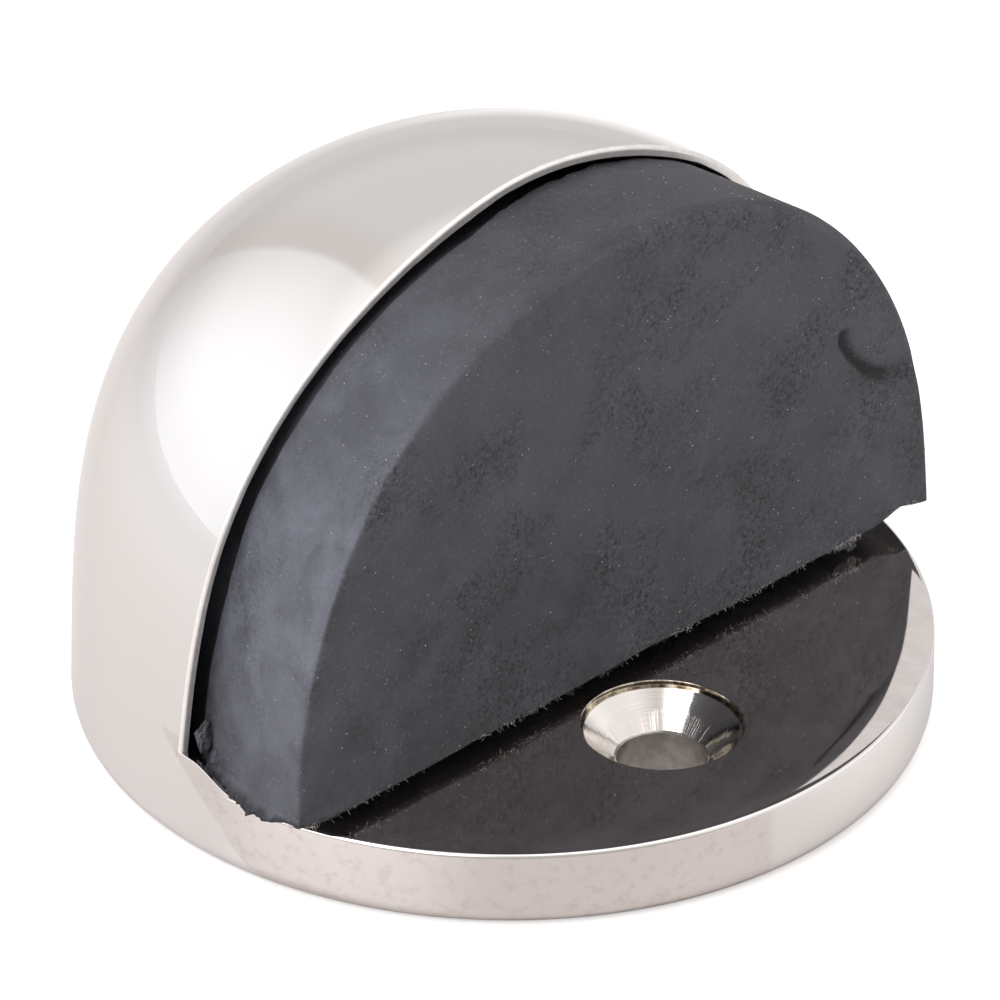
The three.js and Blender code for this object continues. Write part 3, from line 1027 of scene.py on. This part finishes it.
def rubberMaterial():
    material, shader, tree, coords = newMaterial("blackRubber")
    broad = addNoise(tree, coords, 95, 7, 0.66, 0.5)
    cloud = addNoise(tree, coords, 380, 6, 0.72, 0.2)
    grain = addNoise(tree, coords, 4400, 4, 0.75)
    specks = addNoise(tree, coords, 5200, 2, 0.6)
    patch = maths(tree, "ADD", times(tree, broad, 0.5), times(tree, cloud, 0.5))
    tone = mapRange(tree, patch, 0.38, 0.62)
    colour = mixColours(tree, tone, rubberFinish["dark"], rubberFinish["pale"])
    place = splitVector(tree, coords)
    onBand = mapRange(tree, surfaceNormal(tree)["Y"], -0.85, -0.35, smooth=True)

    # painted light: the face is paler towards its upper right
    upper = maths(tree, "ADD", mapRange(tree, place["Z"], 6 * mm, 26 * mm, 0, 0.6),
                  mapRange(tree, place["X"], -16 * mm, 16 * mm, 0, 0.4))
    paintedLightUpperRight = times(tree, upper, maths(tree, "SUBTRACT", 1.0, onBand))
    colour = mixColours(tree, times(tree, paintedLightUpperRight, 0.55), colour, rubberFinish["pale"])

    # real bloom and a painted sheen of light lie on the band in clouds, most of them on the left, where the
    # light falls
    left = mapRange(tree, place["X"], -2 * mm, -17 * mm, 0.12, 1.0, smooth=True)
    left = times(tree, left, mapRange(tree, place["Z"], 5 * mm, 15 * mm, 0.42, 0.9))
    haze = addNoise(tree, coords, 210, 6, 0.62, 0.9)
    clouds = times(tree, mapRange(tree, haze, 0.40, 0.60, 0.45, 1.1),
                   mapRange(tree, patch, 0.40, 0.60, 0.65, 1.0))
    colour = mixColours(tree, times(tree, times(tree, onBand, left), clouds), colour, rubberFinish["bloomAndSheen"])
    # painted shade: the band is darker towards its top
    high = times(tree, onBand, mapRange(tree, place["Z"], 20 * mm, 28 * mm, 0, 0.45))
    colour = mixColours(tree, high, colour, rubberFinish["dark"])

    # fine dark pits, thicker in rough areas, then a darker line along the block's lower edge, painted shade
    # in and around the crease, and chalky grains
    rough = mapRange(tree, addNoise(tree, coords, 170, 5, 0.6, 0.3), 0.46, 0.60, 0.15, 0.95)
    pits = times(tree, mapRange(tree, grain, 0.36, 0.56, 1.0, 0.0), rough)
    pits = times(tree, pits, mapRange(tree, onBand, 0, 1, 1.0, 0.45))
    colour = mixColours(tree, pits, colour, rubberFinish["pitAndShade"])
    # darker along the lower edge, and painted shade in the crease
    footAndCreaseShade = addNode(tree, "ShaderNodeAttribute", {"attribute_name": "darkFootAndCreaseShade"}).outputs["Fac"]
    colour = mixColours(tree, times(tree, footAndCreaseShade, 0.75), colour, rubberFinish["pitAndShade"])
    chalky = mapRange(tree, specks, 0.63, 0.72, 0.0, 0.35)

    height = maths(tree, "ADD", times(tree, grain, 1.2), times(tree, cloud, 1.2))
    setInputs(tree, shader, {
        "Base Color": mixColours(tree, chalky, colour, rubberFinish["chalk"]),
        "Roughness": mapRange(tree, cloud, 0.3, 0.7, *rubberFinish["roughness"]),
        "Normal": bumps(tree, height, 0.6, 0.00008), "Specular IOR Level": 0.42})
    return material


def markFootAndCreaseShade(piece):
    # store, for the material, how dark each point is along the block's lower edge, and the painted shade in
    # and around the crease
    marks = piece.data.attributes.new("darkFootAndCreaseShade", "FLOAT", "POINT")
    for i, vertex in enumerate(piece.data.vertices):
        x, y, z = vertex.co / mm
        # darker along the block's lower edge
        share = min(max((y - rubber["faceY"]) / 9.5, 0), 1)
        torn = footHeight(x, share) + 0.14 + 0.16 * smoothStep(-18, -21, x) + 0.10 * ripple(x, y, 5, 0.5, 2)
        marks.data[i].value = 1 - smoothStep(torn - 0.06, torn + 0.10, z)
        if y > rubber["faceY"] + 1.2:
            continue
        # painted shade in the crease and in the dent at its end
        distance, along = nearPath(x, z, crease["path"])
        value = math.exp(-(distance / 0.34) ** 2) * smoothStep(0, 0.15, along)
        value += 0.55 * inDent(x, z, 1.2, 0.5, 2.3, 0.7)
        marks.data[i].value = min(marks.data[i].value + value, 1)


rubberSkin = rubberMaterial()
rubberBlock = rowsToMesh("rubber_block", rubberRows())
rubberBlock.data.materials.append(rubberSkin)
markFootAndCreaseShade(rubberBlock)
keep(rubberBlock, "rubber_buffer")
print("rubber made:", len(rubberBlock.data.polygons), "faces")


# moulding flash: a torn nib at the rim's left foot, and a tab under the face
flash = {
    "nib": {"at": (-21.25, 0.62, 6.35), "size": (0.62, 0.34, 0.82), "seed": 3.0},
    "stem": {"at": (-21.05, -0.05, 5.0), "size": (0.30, 0.42, 0.80), "seed": 8.0},
    "tab": {"at": (17.1, -8.1, 5.12), "size": (0.55, 0.26, 0.26), "seed": 12.0},
    "hook": {"at": (17.5, -8.2, 4.86), "size": (0.34, 0.16, 0.22), "seed": 21.0},
}


def lump(at, size, seed, rings=44, around=64):
    # a rough lump of torn rubber as closed rows
    rows = []
    for r in range(1, rings):
        polar = math.pi * r / rings
        row = []
        for a in range(around):
            turn = 2 * math.pi * a / around
            way = Vector((math.sin(polar) * math.cos(turn), math.sin(polar) * math.sin(turn),
                          math.cos(polar)))
            rough = 1 + 0.30 * noise.noise(way * 1.7 + Vector((seed, 0, 0)))
            rough += 0.16 * noise.noise(way * 5.0 + Vector((0, seed, 0)))
            rough += 0.09 * noise.noise(way * 13.0 + Vector((0, 0, seed)))
            row.append(Vector(at) + Vector(way[i] * size[i] * rough for i in range(3)))
        rows.append(row)
    return rows


for name, values in flash.items():
    torn = rowsToMesh("mould_flash_" + name, lump(**values))
    torn.data.materials.append(rubberSkin)
    keep(torn)
print("mould flash made")


# dust and fibres are scattered by node trees, each run on a mesh and kept as a plain mesh
def startTree(name, values):
    tree = bpy.data.node_groups.new(name, "GeometryNodeTree")
    tree.interface.new_socket("Geometry", in_out="INPUT", socket_type="NodeSocketGeometry")
    for label, value in values.items():
        kind = "NodeSocketInt" if isinstance(value, int) else "NodeSocketFloat"
        tree.interface.new_socket(label, in_out="INPUT", socket_type=kind)
    tree.interface.new_socket("Geometry", in_out="OUTPUT", socket_type="NodeSocketGeometry")
    given = addNode(tree, "NodeGroupInput").outputs
    return tree, given, addNode(tree, "GeometryNodeInputPosition").outputs[0]


def scatterPoints(tree, given, chance):
    return addNode(tree, "GeometryNodeDistributePointsOnFaces", values={
        "Mesh": given["Geometry"], "Density": chance, "Seed": given["Seed"]}).outputs


def randomBetween(tree, given, low, high):
    return addNode(tree, "FunctionNodeRandomValue", {"data_type": "FLOAT"}, {
        2: given[low], 3: given[high], "Seed": given["Seed"]}).outputs[1]


def endTree(tree, geometry, material):
    real = addNode(tree, "GeometryNodeRealizeInstances", values={0: geometry})
    paint = addNode(tree, "GeometryNodeSetMaterial", values={
        "Geometry": real.outputs[0], "Material": material})
    addNode(tree, "NodeGroupOutput", values={0: paint.outputs[0]})
    return tree


def bakeTree(name, base, tree, values):
    carrier = bpy.data.objects.new(name + "_carrier", base)
    bpy.context.collection.objects.link(carrier)
    modifier = carrier.modifiers.new("Nodes", "NODES")
    modifier.node_group = tree
    for item in tree.interface.items_tree:
        if item.item_type == "SOCKET" and item.in_out == "INPUT" and item.name in values:
            modifier[item.identifier] = values[item.name]
    evaluated = carrier.evaluated_get(bpy.context.evaluated_depsgraph_get())
    mesh = bpy.data.meshes.new_from_object(evaluated)
    mesh.name = name
    piece = bpy.data.objects.new(name, mesh)
    bpy.context.collection.objects.link(piece)
    bpy.data.objects.remove(carrier)
    keep(piece)
    return piece


dust = {"Density": 1500000.0, "Smallest": 0.012 * mm, "Largest": 0.042 * mm, "Seed": 11}


def dustTree(material):
    tree, given, where = startTree("dustSpecks", dust)
    place = splitVector(tree, where)
    inFront = maths(tree, "LESS_THAN", place["Y"], -0.2 * mm)
    above = maths(tree, "GREATER_THAN", place["Z"], 5.5 * mm)
    chance = mapRange(tree, addNoise(tree, where, 260, 3, 0.5), 0.42, 0.70, 0.12, 1.0)
    chance = times(tree, times(tree, chance, times(tree, inFront, above)), given["Density"])
    speck = addNode(tree, "GeometryNodeMeshIcoSphere", values={"Radius": 1.0, "Subdivisions": 1})
    placed = addNode(tree, "GeometryNodeInstanceOnPoints", values={
        "Points": scatterPoints(tree, given, chance)["Points"], "Instance": speck.outputs["Mesh"],
        "Scale": randomBetween(tree, given, "Smallest", "Largest")})
    return endTree(tree, placed.outputs[0], material)


def dustMaterial():
    material, shader, tree, coords = newMaterial("paleDust")
    tone = mapRange(tree, addNoise(tree, coords, 900, 1), 0.35, 0.65)
    setInputs(tree, shader, {
        "Base Color": mixColours(tree, tone, (0.16, 0.16, 0.17), (0.55, 0.53, 0.50)), "Roughness": 0.9})
    return material


palest = dustMaterial()
rubberDust = bakeTree("rubber_dust", rubberBlock.data, dustTree(palest), dust)
print("dust made:", len(rubberDust.data.polygons), "faces")


fibres = {
    "Density": 1.2e8, "Shortest": 0.07 * mm, "Longest": 0.32 * mm, "Thickness": 0.009 * mm, "Seed": 5,
}


def edgeStrip():
    # a narrow strip along the lower edge of the face and of the left band
    points, polygons, path = [], [], []
    for i in range(61):
        x = -22.7 + 45.0 * i / 60
        spot = Vector((x, rubber["faceY"] + 0.13, footHeight(x, 0) + 0.13))
        path.append((spot, Vector((0, 0.12, -0.12))))
    for i in range(1, 19):
        y = rubber["faceY"] + 0.4 + 6.5 * i / 18
        spot = Vector((-23.2 + 0.14 * i, y, footHeight(-22.5, i / 24) + 0.1))
        path.insert(0, (spot, Vector((0.12, 0, -0.12))))
    for centre, half in path:
        points += [(centre - half) * mm, (centre + half) * mm]
    for i in range(len(path) - 1):
        polygons.append((2 * i, 2 * i + 1, 2 * i + 3, 2 * i + 2))
    mesh = bpy.data.meshes.new("edgeStrip")
    mesh.from_pydata(points, [], polygons)
    return mesh


def fibreTree(material):
    tree, given, where = startTree("edgeFibres", fibres)
    chance = mapRange(tree, addNoise(tree, where, 420, 2, 0.5), 0.44, 0.66, 0.05, 1.0)
    # a thick tuft where the tab is torn
    across = splitVector(tree, where)["X"]
    away = maths(tree, "ABSOLUTE", maths(tree, "SUBTRACT", across, flash["tab"]["at"][0] * mm))
    chance = maths(tree, "ADD", chance, mapRange(tree, away, 0.3 * mm, 1.1 * mm, 3.0, 0.0))
    points = scatterPoints(tree, given, times(tree, chance, given["Density"]))
    bend = addNode(tree, "GeometryNodeCurvePrimitiveBezierSegment", values={
        "Resolution": 5, "Start": (0, 0, 0), "Start Handle": (0.1, 0, 0.4),
        "End Handle": (0.5, 0.15, 0.6), "End": (0.7, 0.3, 0.9)})
    turn = addNode(tree, "FunctionNodeRandomValue", {"data_type": "FLOAT_VECTOR"}, {
        0: (-2.1, -2.1, -3.1), 1: (2.1, 2.1, 3.1)})
    angles = addNode(tree, "FunctionNodeEulerToRotation", values={0: turn.outputs[0]})
    turned = addNode(tree, "FunctionNodeRotateRotation", values={
        0: points["Rotation"], 1: angles.outputs[0]})
    placed = addNode(tree, "GeometryNodeInstanceOnPoints", values={
        "Points": points["Points"], "Instance": bend.outputs[0], "Rotation": turned.outputs[0],
        "Scale": randomBetween(tree, given, "Shortest", "Longest")})
    loose = addNode(tree, "GeometryNodeRealizeInstances", values={0: placed.outputs[0]})
    ring = addNode(tree, "GeometryNodeCurvePrimitiveCircle", values={
        "Resolution": 4, "Radius": given["Thickness"]})
    thread = addNode(tree, "GeometryNodeCurveToMesh", values={
        "Curve": loose.outputs[0], "Profile Curve": ring.outputs["Curve"], "Fill Caps": True})
    return endTree(tree, thread.outputs[0], material)


rubberFibres = bakeTree("rubber_fibres", edgeStrip(), fibreTree(palest), fibres)
print("fibres made:", len(rubberFibres.data.polygons), "faces")
